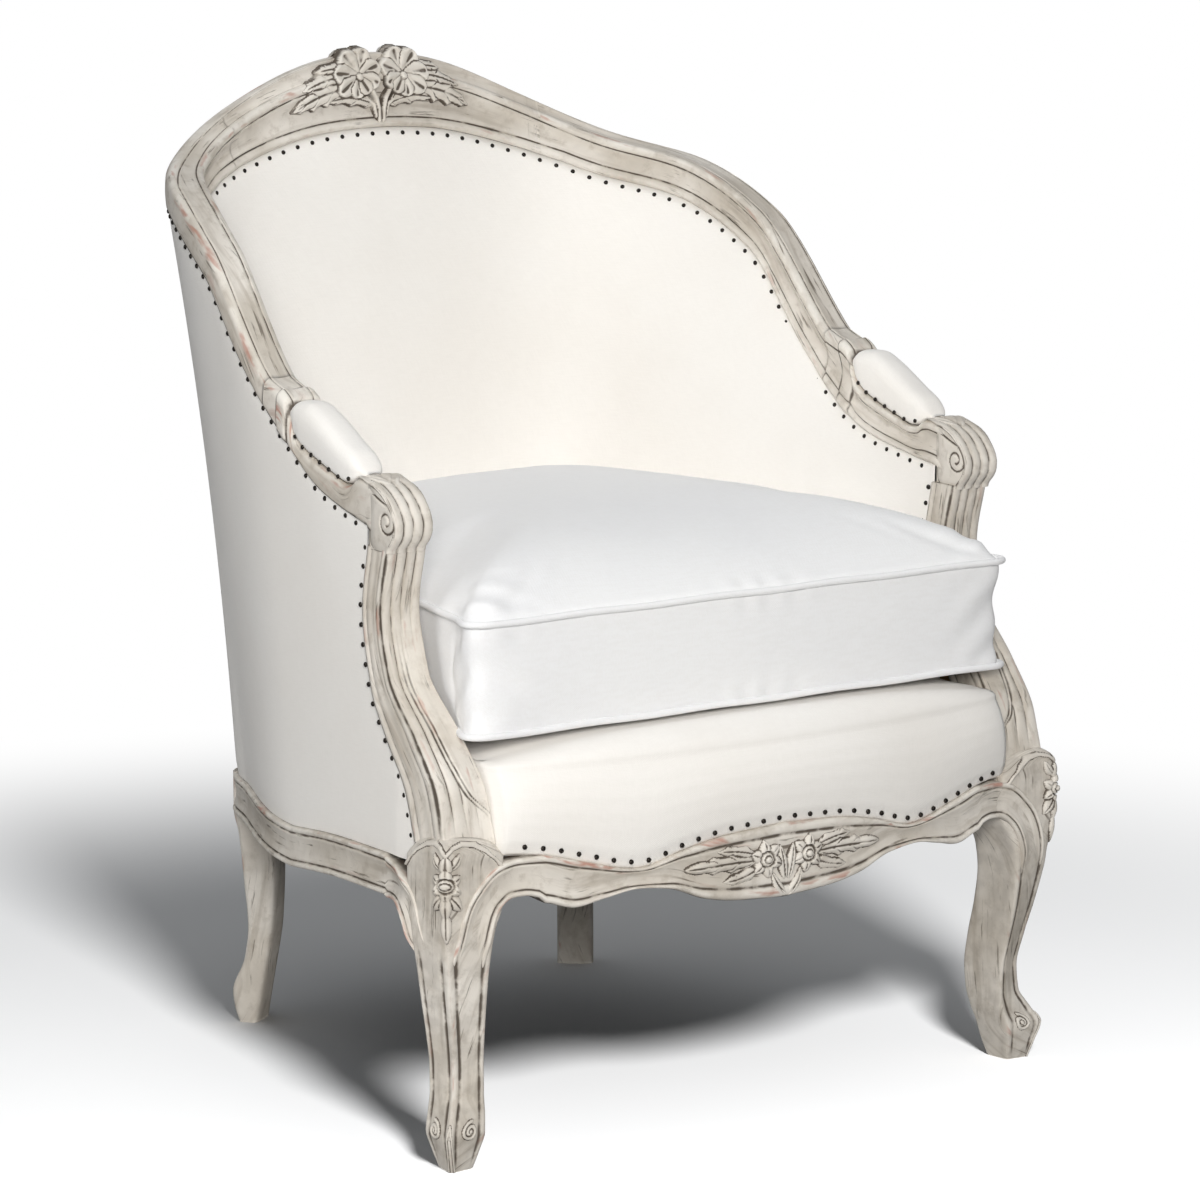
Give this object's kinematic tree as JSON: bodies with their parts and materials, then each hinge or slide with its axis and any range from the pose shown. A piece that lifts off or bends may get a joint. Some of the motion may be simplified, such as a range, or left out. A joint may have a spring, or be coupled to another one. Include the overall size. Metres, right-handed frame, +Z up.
{
  "type": "tub chair",
  "caption": "Carved and painted wooden tub armchair with a curved padded back, cabriole legs, scroll arms and a loose boxed seat cushion that lifts out.",
  "frame": {"origin": "on the floor, under the middle of the chair's overall width and depth", "axes": "+Z up, the chair faces -Y, +X to the right seen from in front"},
  "size_m": [0.7348, 0.7341, 0.9817],
  "materials": {
    "painted_wood": "worn greige paint over a pink-brown undercoat, dark wax in the hollows",
    "bare_wood": "unfinished hardwood",
    "cover_cloth": "off-white plain-weave cotton",
    "cushion_cover": "white plain-weave cotton with self piping",
    "jute": "coarse jute",
    "black_cloth": "thin black cambric",
    "screw_steel": "plain steel"
  },
  "bodies": {
    "chair_frame": {"arm_left": "painted_wood", "arm_pad_left": "cover_cloth", "arm_pad_right": "cover_cloth", "arm_right": "painted_wood", "arm_support_left": "painted_wood", "arm_support_right": "painted_wood", "back_seat_rail": "painted_wood", "back_webbing": "jute", "corner_block_front_left": "bare_wood", "corner_block_front_right": "bare_wood", "corner_block_rear_left": "bare_wood", "corner_block_rear_right": "bare_wood", "corner_block_screws": "screw_steel", "crest_rail": "painted_wood", "dust_cover": "black_cloth", "frame_dowels": "bare_wood", "front_leg_left": "painted_wood", "front_leg_right": "painted_wood", "front_seat_rail": "painted_wood", "hessian": "jute", "inside_back": "cover_cloth", "outside_back": "cover_cloth", "outside_left": "cover_cloth", "outside_right": "cover_cloth", "rear_leg_left": "painted_wood", "rear_leg_right": "painted_wood", "seat_deck": "cover_cloth", "seat_webbing_cross": "jute", "seat_webbing_long": "jute", "side_seat_rail_left": "painted_wood", "side_seat_rail_right": "painted_wood", "tacking_rail_back": "bare_wood", "tacking_rail_left": "bare_wood", "tacking_rail_right": "bare_wood", "top_rail_left": "painted_wood", "top_rail_right": "painted_wood"},
    "cushion": {"seat_cushion": "cushion_cover"}
  },
  "joints": [
    {"name": "cushion_lift", "type": "slide", "parent": "chair_frame", "child": "cushion", "axis": [0, 0, 1], "range_m": [0, 0.25]}
  ]
}
